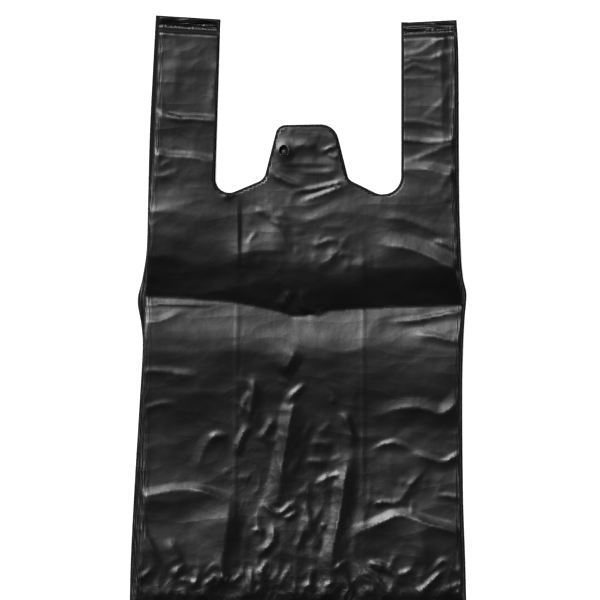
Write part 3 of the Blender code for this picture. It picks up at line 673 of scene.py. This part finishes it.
class BagFilm:
    """The folded and die-cut tube of film, built as a grid of rows and columns in a bmesh.

    At first each point holds its share across, its share up and its layer. The layers are 0 for the
    back panel, 1 and 2 for the gusset leaves and 3 for the front panel; folds lie halfway.
    """

    inner_fold = 0.4

    def __init__(self, settings):
        self.settings = settings
        self.mesh = bmesh.new()
        self.build_grid()
        self.lay_flat()

    def build_grid(self):
        """Draw the section of the tube from a few points, and spin it up the bag in rows."""
        fold = self.inner_fold
        section = ((1, 0), (1, 1), (fold, 1), (fold, 2), (1, 2), (1, 3),
                   (-1, 3), (-1, 2), (-fold, 2), (-fold, 1), (-1, 1), (-1, 0))
        ring = [self.mesh.verts.new((across, 0, layer)) for across, layer in section]
        cuts = {}
        for start, end in zip(ring, ring[1:]):
            width = abs(start.co.x - end.co.x)
            if width > 1:
                count = self.settings.columns - 1
            elif width > 0:
                count = self.settings.leaf_columns - 1
            else:
                count = 1
            cuts.setdefault(count, []).append(self.mesh.edges.new((start, end)))
        for count, edges in cuts.items():
            bmesh.ops.subdivide_edges(self.mesh, edges=edges, cuts=count)
        rows = self.settings.rows
        bmesh.ops.spin(self.mesh, geom=self.mesh.verts[:] + self.mesh.edges[:], cent=(0, 0, 0),
                       axis=(0, 0, 1), dvec=(0, 1 / rows, 0), angle=0.0, steps=rows,
                       use_merge=False, use_duplicate=False)
        front = self.front_faces()[0]
        front.normal_update()
        if front.normal.z < 0:
            bmesh.ops.reverse_faces(self.mesh, faces=self.mesh.faces)

    def lay_flat(self):
        """Move each grid point to its place on the flat bag, in mm, keeping its layer in z."""
        verts = self.mesh.verts[:]
        share, row, layer = np.array([vert.co for vert in verts]).T
        share, row, layer = np.round(share, 6), np.round(row, 6), np.round(layer, 3)
        front = np.clip(layer - 1, 0.0, 1.0)
        tops = BAG_HEIGHT
        for _ in range(2):
            up = row * tops
            left, right = side_edge(-1, front, up), side_edge(1, front, up)
            across = left + (right - left) * (share + 1) / 2
            tops = straight_curve(HANDLE_TOPS, across) - FRONT_SETBACK * front
        inward = np.where(layer < FRONT_LAYER, (1 - np.abs(share)) / (1 - self.inner_fold), 0.0)
        for side, outer in ((-1, left), (1, right)):
            inner = self.inner_edge(side, front, up)
            here = (layer < FRONT_LAYER) & (share * side > 0)
            bulge = side * FOLD_BULGE * (layer % 1 != 0) * np.where(np.abs(share) == 1, 1, -1)
            across = np.where(here, outer + (inner - outer) * inward + bulge, across)
        for vert, *place in zip(verts, across, up, layer):
            vert.co = place
        at_fold = np.abs(share) == self.inner_fold
        above_mouth = up > mouth_line(False)[:, 1].min()
        folds = {vert for vert, fold in zip(verts, at_fold) if fold}
        parted = {vert for vert, cut in zip(verts, at_fold & above_mouth) if cut}
        strips = [face for face in self.mesh.faces
                  if folds.issuperset(face.verts) and not parted.isdisjoint(face.verts)]
        bmesh.ops.delete(self.mesh, geom=strips, context="FACES")

    def inner_edge(self, side, front, up):
        """Place across where a gusset leaf ends: its fold, or the die cut above the mouth."""
        result = np.zeros(len(up))
        for amount, line in ((1 - front, mouth_line(False)), (front, mouth_line(True))):
            middle = len(line) // 2
            half = line[:middle][::-1] if side < 0 else line[middle:]
            half = half[half[:, 1].argmin():]
            cut = np.interp(up, half[:, 1], half[:, 0])
            result += amount * np.where(up < half[0, 1], GUSSET_FOLDS[side], cut)
        return result

    def front_faces(self):
        return [face for face in self.mesh.faces if all_on(face, FRONT_LAYER)]

    def cut_away(self, outline):
        """Remove the front's faces whose middles lie inside an outline."""
        faces = self.front_faces()
        middles = np.array([face.calc_center_median().xy for face in faces])
        gone = [face for face, out in zip(faces, inside(middles, outline)) if out]
        bmesh.ops.delete(self.mesh, geom=gone, context="FACES")

    def snap_edge(self, line, reach):
        """Move the front's free edge points near a line onto it."""
        verts = [vert for vert in self.mesh.verts
                 if vert.co.z == FRONT_LAYER and vert.co.y > 1 and vert.is_boundary]
        places, gaps, _ = nearest_on(places_of(verts), line)
        for vert, place, gap in zip(verts, places, gaps):
            if abs(gap) < reach:
                vert.co.xy = place

    def cut_mouth(self):
        """Cut the opening round the tab, and the punched arch in it, out of the front."""
        line = mouth_line(True)
        beyond = np.array(((line[-1][0], ABOVE_BAG), (line[0][0], ABOVE_BAG)))
        self.cut_away(np.concatenate((line, beyond)))
        self.snap_edge(line, CUT_SNAP)
        arch = hole_line()
        centre = Vector(HOLE_CENTRE)
        near = [edge for edge in self.mesh.edges if all_on(edge, FRONT_LAYER)
                and all((vert.co.xy - centre).length < HOLE_ZONE for vert in edge.verts)]
        bmesh.ops.subdivide_edges(self.mesh, edges=near, cuts=HOLE_CUTS, use_grid_fill=True)
        self.cut_away(arch)
        self.snap_edge(np.concatenate((arch, arch[:1])), HOLE_SNAP)

    def add_back(self):
        """Fill the back panel inside its own outline, and divide it into even cells."""
        columns = {}
        for side in (-1, 1):
            verts = [vert for vert in self.mesh.verts
                     if vert.co.z == BACK_LAYER and vert.co.x * side > 0]
            columns[side] = sorted(verts, key=lambda vert: vert.co.y)
        line = mouth_line(False)
        fine = [line[0]]
        for start, end in zip(line, line[1:]):
            parts = max(1, round(float(np.linalg.norm(end - start)) / OUTLINE_STEP))
            fine += [start + (end - start) * index / parts for index in range(1, parts + 1)]
        mouth = [self.mesh.verts.new((place[0], place[1], BACK_LAYER)) for place in fine]
        face = self.mesh.faces.new(columns[-1] + mouth + columns[1][::-1])
        face.normal_update()
        if face.normal.z > 0:
            face.normal_flip()
        cell = self.settings.back_cell / MM
        below_mouth = line[:, 1].min() - cell / 2
        for place in np.arange(below_mouth, cell / 2, -cell):
            self.cut_back((0, place, 0), (0, 1, 0), ABOVE_BAG)
        for place in np.arange(-BACK_REACH, BACK_REACH + 1, cell):
            self.cut_back((place, 0, 0), (1, 0, 0), below_mouth + 1)

    def cut_back(self, point, normal, highest):
        """Cut the back's faces that lie below a place up along a plane."""
        faces = [face for face in self.mesh.faces
                 if all_on(face, BACK_LAYER) and all(vert.co.y <= highest for vert in face.verts)]
        edges = list(dict.fromkeys(edge for face in faces for edge in face.edges))
        bmesh.ops.bisect_plane(self.mesh, geom=faces + edges, plane_co=point, plane_no=normal,
                               dist=0.01)

    def settle_on(self, crests):
        """Move the nearest grid points sideways onto each crest, so that it stays sharp."""
        verts = [vert for vert in self.mesh.verts
                 if vert.co.z == FRONT_LAYER and not vert.is_boundary]
        points = places_of(verts)
        cell = FACE_WIDTH / self.settings.columns
        for crest in crests:
            crest = np.asarray(crest, dtype=float)
            low, high = crest.min(axis=0) - cell, crest.max(axis=0) + cell
            near = np.flatnonzero(np.all((points > low) & (points < high), axis=1))
            if len(near) == 0:
                continue
            places, gaps, shares = nearest_on(points[near], crest)
            lengths = np.diff(crest, axis=0)
            starts = np.cumsum(np.linalg.norm(lengths, axis=1)) / np.linalg.norm(lengths, axis=1).sum()
            step = lengths[np.clip(np.searchsorted(starts, shares + TIE), 0, len(lengths) - 1)]
            slope = np.abs(step).max(axis=1) / np.linalg.norm(step, axis=1)
            close = (np.abs(gaps) <= 0.5 * cell * slope) & (shares > 0) & (shares < 1)
            points[near[close]] = places[close]
        before = {vert: vert.co.copy() for vert in verts}
        for vert, place in zip(verts, points):
            vert.co.xy = place
        self.take_back(before, LEAST_TURN * cell * cell)

    def take_back(self, before, least_turn):
        """Put back the points of each of the front's cells that is bent too flat or folded over."""
        faces = [face for face in self.front_faces() if len(face.verts) == 4]
        for _ in range(SETTLE_ROUNDS):
            for face in faces:
                corners = [vert.co for vert in face.verts]
                turns = [(b - a).cross(c - b).z for a, b, c in
                         zip(corners, corners[1:] + corners[:1], corners[2:] + corners[:2])]
                if min(turns) < least_turn:
                    for vert in face.verts:
                        if vert in before:
                            vert.co.xy = before[vert].xy

    def leaf_lift(self, creases):
        """Height of the upper leaves' edge points, which hang from the front's side edges."""
        leaf = [vert for vert in self.mesh.verts if FRONT_LAYER - 1 <= vert.co.z < FRONT_LAYER]
        points = places_of(leaf)
        across, up = points.T
        gaps = np.minimum(*(np.abs(across - side_edge(side, 1.0, up)) for side in (-1, 1)))
        heights, _ = relief(points, creases, self.settings)
        return {vert: height for vert, height, gap in zip(leaf, heights, gaps) if gap < LEAF_HOLD}

    def mark_film(self, points, weld_gaps, marks):
        """Write where the film is welded, crumpled, gathered, hemmed and dull."""
        across, up = points.T
        edge = np.minimum(across - side_edge(-1, 1.0, up), side_edge(1, 1.0, up) - across)
        layer = np.array([vert.co.z for vert in self.mesh.verts])
        amounts = {
            "weld": np.exp(-(weld_gaps / WELD_HALF_WIDTH) ** 2),
            "crumple": SMOOTH_CRUMPLE + crumple_share(points),
            "skirt": in_skirt(points) * ease(weld_gaps, SKIRT_WAY),
            "hem": fade(edge, *HEM),
            "matte": np.where((layer < FRONT_LAYER - 1.1) & (up > DULL_FROM), 1.0, 0.0),
        }
        for name, values in amounts.items():
            for vert, value in zip(self.mesh.verts, values):
                vert[marks[name]] = value

    def split_cells(self, creases, lift):
        """Split each of the front's cells along the diagonal that follows the relief best."""
        faces = [face for face in self.front_faces() if len(face.verts) == 4]
        middles = np.array([face.calc_center_median().xy for face in faces])
        heights, _ = relief(middles, creases, self.settings)
        straight, crossed = [], []
        for face, height in zip(faces, heights):
            a, b, c, d = (lift[vert] for vert in face.verts)
            best = straight if abs((a + c) / 2 - height) <= abs((b + d) / 2 - height) else crossed
            best.append(face)
        bmesh.ops.triangulate(self.mesh, faces=straight, quad_method="FIXED")
        bmesh.ops.triangulate(self.mesh, faces=crossed, quad_method="ALTERNATE")
        rest = [face for face in self.mesh.faces if len(face.verts) > 3]
        bmesh.ops.triangulate(self.mesh, faces=rest)

    def raise_front(self, creases):
        """Give the front its relief and the film its marks, and set the layers at their heights."""
        marks = {name: self.mesh.verts.layers.float.new(name) for name in FILM_MARKS}
        front = [vert for vert in self.mesh.verts if vert.co.z == FRONT_LAYER]
        heights, crest_wear_and_highlight = relief(places_of(front), creases, self.settings)
        lift = dict(zip(front, heights))
        lift.update(self.leaf_lift(creases))
        # The crests' mark: wear, and a lighter colour there as painted highlight
        for vert, amount in zip(front, crest_wear_and_highlight):
            vert[marks["wear_and_highlight"]] = amount
        points = places_of(self.mesh.verts)
        gaps = weld_gap(points)
        self.mark_film(points, gaps, marks)
        self.split_cells(creases, lift)
        film = self.settings.film / MM
        pitch = self.settings.layer_pitch / MM
        least, reach = WELD_SQUEEZE
        squeeze = least + (1 - least) * ease(gaps - WELD_HALF_WIDTH, reach)
        for vert, amount in zip(self.mesh.verts, squeeze):
            vert.co.z = film / 2 + vert.co.z * pitch * amount + lift.get(vert, 0.0)

    def finish(self, name):
        """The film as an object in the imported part's frame, with its thickness."""
        left_edge = float(side_edge(-1, 0.0, np.zeros(1))[0]) * MM
        shift = Vector((BOX_LOW[0] - left_edge, BOX_LOW[1], BOX_LOW[2]))
        for vert in self.mesh.verts:
            vert.co = vert.co * MM + shift
        mesh = bpy.data.meshes.new(name)
        self.mesh.to_mesh(mesh)
        self.mesh.free()
        mesh.shade_smooth()
        piece = bpy.data.objects.new(name, mesh)
        bpy.context.scene.collection.objects.link(piece)
        thickness = piece.modifiers.new("Film thickness", "SOLIDIFY")
        thickness.thickness = self.settings.film
        thickness.offset = 0.0
        return piece


def film_wear_and_highlight_group():
    """Node group: crests lighter and glossier from wear and painted highlight, crimped welds with
    painted glints, and slow changes of gloss over film.
    """
    group = bpy.data.node_groups.new("Film surface", "ShaderNodeTree")
    sockets = group.interface
    # The second colour is the lighter one of the painted crest highlights and weld glints, on top of
    # wear
    for name, kind, value in (("Film Color", "NodeSocketColor", (0.006, 0.006, 0.0065, 1.0)),
                              ("Crest Wear and Highlight Color", "NodeSocketColor", (0.012, 0.012, 0.0125, 1.0)),
                              ("Roughness", "NodeSocketFloat", 0.4),
                              ("Crumple", "NodeSocketFloat", 0.3)):
        socket = sockets.new_socket(name=name, in_out="INPUT", socket_type=kind)
        socket.default_value = value
    for name, kind in (("Color", "Color"), ("Roughness", "Float"), ("Normal", "Vector")):
        sockets.new_socket(name=name, in_out="OUTPUT", socket_type="NodeSocket" + kind)
    nodes, links = group.nodes, group.links
    given = nodes.new("NodeGroupInput")
    result = nodes.new("NodeGroupOutput")
    place = nodes.new("ShaderNodeTexCoord")

    def noise(scale, detail, stretch=(1, 1, 1)):
        mapping = nodes.new("ShaderNodeMapping")
        mapping.inputs["Scale"].default_value = stretch
        links.new(place.outputs["Object"], mapping.inputs["Vector"])
        texture = nodes.new("ShaderNodeTexNoise")
        texture.inputs["Scale"].default_value = scale
        texture.inputs["Detail"].default_value = detail
        links.new(mapping.outputs["Vector"], texture.inputs["Vector"])
        return texture.outputs["Fac"]

    def attribute(name):
        node = nodes.new("ShaderNodeAttribute")
        node.attribute_name = name
        return node.outputs["Fac"]

    def math_node(operation, first, second, clamp=False):
        node = nodes.new("ShaderNodeMath")
        node.operation = operation
        node.use_clamp = clamp
        for socket, value in zip(node.inputs, (first, second)):
            if isinstance(value, (int, float)):
                socket.default_value = value
            else:
                links.new(value, socket)
        return node.outputs["Value"]

    def crease_noise(scale, stretch=(1, 1, 1)):
        away = math_node("ABSOLUTE", math_node("SUBTRACT", noise(scale, 0.6, stretch), 0.5), 0.0)
        return math_node("SUBTRACT", 1.0, math_node("MULTIPLY", away, 4.0))

    def weighed(*terms):
        total = 0.0
        for value, weight in terms:
            total = math_node("ADD", total, math_node("MULTIPLY", value, weight))
        return total

    wear_and_highlight, weld, crumple, skirt, hem, matte = (attribute(name) for name in FILM_MARKS)
    # Lighter speckles along the welds: painted glints of the crimped seal
    painted_weld_glints = math_node("MULTIPLY", weld, math_node("GREATER_THAN", noise(900, 1), 0.55))
    # Crests are mixed toward the lighter colour as painted highlight, on top of wear
    amount = math_node("ADD", math_node("MULTIPLY", wear_and_highlight, noise(60, 3)), painted_weld_glints, clamp=True)
    mix = nodes.new("ShaderNodeMix")
    mix.data_type = "RGBA"
    links.new(amount, mix.inputs["Factor"])
    links.new(given.outputs["Film Color"], mix.inputs[6])
    links.new(given.outputs["Crest Wear and Highlight Color"], mix.inputs[7])
    links.new(mix.outputs[2], result.inputs["Color"])
    change = math_node("MULTIPLY", math_node("SUBTRACT", noise(22, 4), 0.5), 0.12)
    roughness = weighed((given.outputs["Roughness"], 1.0), (change, 1.0), (wear_and_highlight, -0.06), (matte, 0.65))
    links.new(math_node("MINIMUM", roughness, 1.0), result.inputs["Roughness"])
    grain = weighed((noise(260, 2), 0.06), (noise(420, 2, (1, 0.04, 1)), 0.04))
    facets = weighed((crease_noise(13, (1, 3.5, 1)), 0.36), (crease_noise(36, (1, 1.5, 1)), 0.2),
                     (crease_noise(90, (1, 1.3, 1)), 0.05))
    sharp = weighed((crease_noise(75, (1, 0.6, 1)), 1.0), (crease_noise(170), 0.22))
    marked = ((crumple, sharp, 0.8), (skirt, crease_noise(60, (0.5, 7, 1)), 3.0),
              (hem, crease_noise(60, (7, 0.9, 1)), 0.3), (weld, noise(430, 1), 2.0))
    height = weighed((grain, 1.0), (facets, 1.0),
                     *((math_node("MULTIPLY", mark, form), weight) for mark, form, weight in marked))
    bump = nodes.new("ShaderNodeBump")
    bump.inputs["Distance"].default_value = 0.001
    links.new(given.outputs["Crumple"], bump.inputs["Strength"])
    links.new(height, bump.inputs["Height"])
    links.new(bump.outputs["Normal"], result.inputs["Normal"])
    return group


def film_material(settings):
    """Black film with a soft satin gloss."""
    material = bpy.data.materials.new("black_film")
    material.use_nodes = True
    nodes, links = material.node_tree.nodes, material.node_tree.links
    shader = nodes["Principled BSDF"]
    surface = nodes.new("ShaderNodeGroup")
    surface.node_tree = film_wear_and_highlight_group()
    surface.inputs["Film Color"].default_value = (*settings.film_color, 1.0)
    surface.inputs["Crest Wear and Highlight Color"].default_value = (*settings.crest_wear_and_highlight_color, 1.0)
    surface.inputs["Roughness"].default_value = settings.roughness
    surface.inputs["Crumple"].default_value = settings.fine_crumple
    links.new(surface.outputs["Color"], shader.inputs["Base Color"])
    links.new(surface.outputs["Roughness"], shader.inputs["Roughness"])
    links.new(surface.outputs["Normal"], shader.inputs["Normal"])
    shader.inputs["IOR"].default_value = 1.5
    return material


def floor_material(settings):
    """Pale floor that reads as white to the camera and keeps the bag's shadow."""
    material = bpy.data.materials.new("pale_floor")
    material.use_nodes = True
    nodes, links = material.node_tree.nodes, material.node_tree.links
    shader = nodes["Principled BSDF"]
    shader.inputs["Base Color"].default_value = (*settings.floor_color, 1.0)
    shader.inputs["Roughness"].default_value = 0.9
    shader.inputs["Specular IOR Level"].default_value = 0.0
    glow = nodes.new("ShaderNodeEmission")
    glow.inputs["Color"].default_value = (1, 1, 1, 1)
    glow.inputs["Strength"].default_value = settings.floor_glow
    both = nodes.new("ShaderNodeAddShader")
    links.new(shader.outputs["BSDF"], both.inputs[0])
    links.new(glow.outputs["Emission"], both.inputs[1])
    seen = seen_rays(nodes, links)
    choose = nodes.new("ShaderNodeMixShader")
    links.new(seen, choose.inputs["Fac"])
    links.new(shader.outputs["BSDF"], choose.inputs[1])
    links.new(both.outputs["Shader"], choose.inputs[2])
    links.new(choose.outputs["Shader"], nodes["Material Output"].inputs["Surface"])
    return material


def seen_rays(nodes, links):
    """1 for rays from the camera, and for those that a glossy or clear surface sends on."""
    path = nodes.new("ShaderNodeLightPath")
    total = path.outputs["Is Camera Ray"]
    for name in ("Is Glossy Ray", "Is Transmission Ray"):
        either = nodes.new("ShaderNodeMath")
        either.operation = "MAXIMUM"
        links.new(total, either.inputs[0])
        links.new(path.outputs[name], either.inputs[1])
        total = either.outputs["Value"]
    return total


def light_world(settings):
    """Dim studio ceiling, white low down where the camera and the gloss look past the floor."""
    world = bpy.data.worlds.new("studio")
    bpy.context.scene.world = world
    world.use_nodes = True
    nodes, links = world.node_tree.nodes, world.node_tree.links
    back = nodes["Background"]
    back.inputs["Color"].default_value = (1, 1, 1, 1)
    back.inputs["Strength"].default_value = settings.ceiling
    white = nodes.new("ShaderNodeBackground")
    white.inputs["Strength"].default_value = 1.0
    place = nodes.new("ShaderNodeTexCoord")
    split = nodes.new("ShaderNodeSeparateXYZ")
    links.new(place.outputs["Generated"], split.inputs["Vector"])
    low = nodes.new("ShaderNodeMapRange")
    for name, value in zip(("From Min", "From Max"), CEILING_END):
        low.inputs[name].default_value = value
    links.new(split.outputs["Z"], low.inputs["Value"])
    seen = nodes.new("ShaderNodeMath")
    seen.operation = "MULTIPLY"
    links.new(seen_rays(nodes, links), seen.inputs[0])
    links.new(low.outputs["Result"], seen.inputs[1])
    mix = nodes.new("ShaderNodeMixShader")
    links.new(seen.outputs["Value"], mix.inputs["Fac"])
    links.new(back.outputs["Background"], mix.inputs[1])
    links.new(white.outputs["Background"], mix.inputs[2])
    links.new(mix.outputs["Shader"], nodes["World Output"].inputs["Surface"])


def add_softbox(name, azimuth, zenith, distance, size, power):
    """An area lamp aimed at the bag from a direction: azimuth left of +Y, angle from straight up."""
    lamp = bpy.data.lights.new(name, "AREA")
    lamp.shape = "RECTANGLE"
    lamp.size, lamp.size_y = size
    lamp.energy = power
    holder = bpy.data.objects.new(name, lamp)
    across = math.sin(zenith)
    direction = Vector((-math.sin(azimuth) * across, math.cos(azimuth) * across, math.cos(zenith)))
    holder.location = direction * distance
    holder.rotation_euler = direction.to_track_quat("Z", "Y").to_euler()
    bpy.context.scene.collection.objects.link(holder)


def number_prop(name, description, default, **more):
    """A setting with a number."""
    return bpy.props.FloatProperty(name=name, description=description, default=default, **more)


def length_prop(name, description, default):
    """A setting with a length, small ones shown in full."""
    return number_prop(name, description, default, unit="LENGTH", precision=5)


def share_prop(name, description, default, most=1.0):
    """A setting between nothing and the most."""
    return number_prop(name, description, default, min=0.0, max=most, subtype="FACTOR")


def count_prop(name, description, default, least):
    """A setting with a whole number."""
    return bpy.props.IntProperty(name=name, description=description, default=default, min=least)


def color_prop(name, description, default):
    """A setting with a colour."""
    return bpy.props.FloatVectorProperty(name=name, description=description, default=default,
                                         subtype="COLOR")


class BagFilmSettings(bpy.types.PropertyGroup):
    """Sizes and finish of the film"""

    columns: count_prop("Columns", "Cells across the front", 158, 20)
    rows: count_prop("Rows", "Cells up the bag", 300, 20)
    leaf_columns: count_prop("Leaf columns", "Cells across a gusset leaf", 3, 1)
    back_cell: length_prop("Back cell", "Size of the back's cells", 20 * MM)
    film: length_prop("Film", "Thickness of the film", 0.14 * MM)
    layer_pitch: length_prop("Layer pitch", "Height from one layer to the next", 0.42 * MM)
    waviness: length_prop("Waviness", "Height of the film's soft waves", 0.15 * MM)
    pillow: share_prop("Pillow", "Share of the front's full height off the back", 1.0, 2.0)
    crease_strength: share_prop("Creases", "Share of the creases' full height", 0.85, 2.0)
    film_color: color_prop("Film colour", "Colour of the film", (0.0018, 0.0018, 0.002))
    # Lighter colour of the crests and weld speckles: painted highlight and painted glints, on top of
    # wear
    crest_wear_and_highlight_color: color_prop("Crest wear and highlight colour", "Colour of the film's worn crests", (0.012, 0.012, 0.0125))
    roughness: share_prop("Roughness", "Roughness of the film", 0.32)
    fine_crumple: share_prop("Fine crumple", "Strength of the finest wrinkles", 0.5)


class BagStageSettings(bpy.types.PropertyGroup):
    """The studio around the bag"""

    floor_size: length_prop("Floor size", "Side of the floor", 12.0)
    floor_color: color_prop("Floor colour", "Colour of the floor", (0.8, 0.8, 0.8))
    floor_glow: number_prop("Floor glow", "White added to the floor where it is seen", 0.62)
    ceiling: number_prop("Ceiling", "Brightness of the studio's ceiling", 0.02)
    key_power: number_prop("Key power", "Power of the main softbox", 1780.0, unit="POWER")
    frame_width: length_prop("Frame width", "Width that the picture covers", 0.525)
    lens: number_prop("Lens", "Focal length in mm", 800.0)


class OBJECT_OT_bag_film(bpy.types.Operator):
    """Build the folded, die-cut and creased film of the bag"""

    bl_idname = "object.bag_film"
    bl_label = "Bag film"

    def execute(self, context):
        settings = context.scene.bag_film
        film = BagFilm(settings)
        film.cut_mouth()
        film.add_back()
        creases = [(*crease[:3], fair_line(crease[3])) for crease in list(CREASES) + small_crumples()]
        film.settle_on([VALLEY] + [crease[3] for crease in creases[:len(CREASES)]])
        film.raise_front(creases)
        piece = film.finish("carrier_bag_film")
        piece.data.materials.append(film_material(settings))
        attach(piece, "root")
        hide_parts(NODE)
        return {"FINISHED"}


class OBJECT_OT_bag_stage(bpy.types.Operator):
    """Add the pale floor, the soft lights and the camera above the bag"""

    bl_idname = "object.bag_stage"
    bl_label = "Bag stage"

    def execute(self, context):
        settings = context.scene.bag_stage
        builder = bmesh.new()
        bmesh.ops.create_grid(builder, x_segments=1, y_segments=1, size=settings.floor_size / 2)
        mesh = bpy.data.meshes.new("floor")
        builder.to_mesh(mesh)
        builder.free()
        floor = bpy.data.objects.new("floor", mesh)
        context.scene.collection.objects.link(floor)
        mesh.materials.append(floor_material(settings))
        light_world(settings)
        for name, (*place, size, share_of_key) in SOFTBOXES.items():
            add_softbox(name, *place, size, settings.key_power * share_of_key)
        lens = bpy.data.cameras.new("camera")
        lens.lens = settings.lens
        lens.sensor_width = SENSOR_WIDTH
        camera = bpy.data.objects.new("camera", lens)
        distance = settings.frame_width * settings.lens / SENSOR_WIDTH
        camera.location = (CAMERA_PLACE[0] * MM, CAMERA_PLACE[1] * MM, distance)
        context.scene.collection.objects.link(camera)
        context.scene.camera = camera
        context.scene.view_settings.view_transform = "Standard"
        return {"FINISHED"}


class VIEW3D_PT_bag(bpy.types.Panel):
    """The bag's sizes and builders"""

    bl_label = "Carrier bag"
    bl_idname = "VIEW3D_PT_bag"
    bl_space_type = "VIEW_3D"
    bl_region_type = "UI"
    bl_category = "Bag"

    def draw(self, context):
        for group, operator in (("bag_film", "object.bag_film"), ("bag_stage", "object.bag_stage")):
            box = self.layout.box()
            settings = getattr(context.scene, group)
            for name in settings.__annotations__:
                box.prop(settings, name)
            box.operator(operator)


CLASSES = (BagFilmSettings, BagStageSettings, OBJECT_OT_bag_film, OBJECT_OT_bag_stage, VIEW3D_PT_bag)


def register():
    for item in CLASSES:
        bpy.utils.register_class(item)
    bpy.types.Scene.bag_film = bpy.props.PointerProperty(type=BagFilmSettings)
    bpy.types.Scene.bag_stage = bpy.props.PointerProperty(type=BagStageSettings)


def unregister():
    del bpy.types.Scene.bag_stage
    del bpy.types.Scene.bag_film
    for item in reversed(CLASSES):
        bpy.utils.unregister_class(item)


def main():
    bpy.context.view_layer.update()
    register()
    bpy.ops.object.bag_film()
    bpy.ops.object.bag_stage()


if __name__ == "__main__":
    main()
